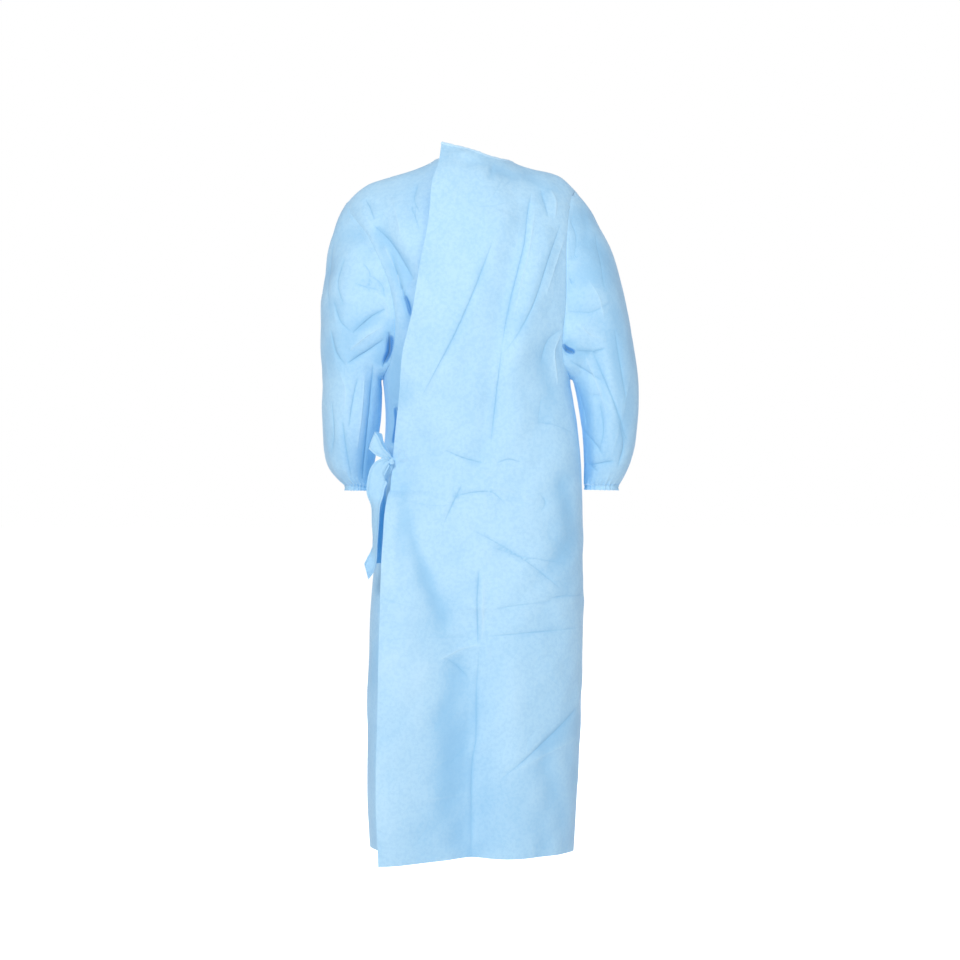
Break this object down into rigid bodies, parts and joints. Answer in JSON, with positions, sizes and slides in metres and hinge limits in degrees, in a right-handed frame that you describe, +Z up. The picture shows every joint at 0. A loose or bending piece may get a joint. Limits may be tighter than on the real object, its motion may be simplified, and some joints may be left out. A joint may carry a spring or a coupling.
{
  "type": "surgical gown",
  "caption": "Long light-blue nonwoven surgical gown, worn open and hollow: wraps over at the back, full sleeves with elastic hems, bound neck, waist ties in a bow.",
  "frame": {"origin": "where the wearer's shoulders hold the gown: midway between the two points where shoulder seam and neckline meet", "axes": "+X to the wearer's right, +Y forward out of the wearer's chest, +Z up"},
  "size_m": [0.6219, 0.3558, 1.3702],
  "materials": {
    "gown_cloth": "matte spunbond nonwoven",
    "tie_cloth": "matte spunbond nonwoven, folded tape",
    "binding": "matte, paler folded strip",
    "elastic_hem": "matte nonwoven gathered over elastic"
  },
  "bodies": {
    "root": {"front_panel": "gown_cloth", "back_wrap_panel": "gown_cloth", "back_under_panel": "gown_cloth", "back_under_waist": "gown_cloth", "back_under_skirt": "gown_cloth", "sleeve_left": "gown_cloth", "sleeve_right": "gown_cloth", "cuff_left": "elastic_hem", "cuff_right": "elastic_hem", "neck_binding": "binding", "tie_knot": "tie_cloth", "tie_loop": "tie_cloth", "tie_tail_long": "tie_cloth", "tie_tail_short": "tie_cloth", "tie_side": "tie_cloth"}
  },
  "joints": []
}
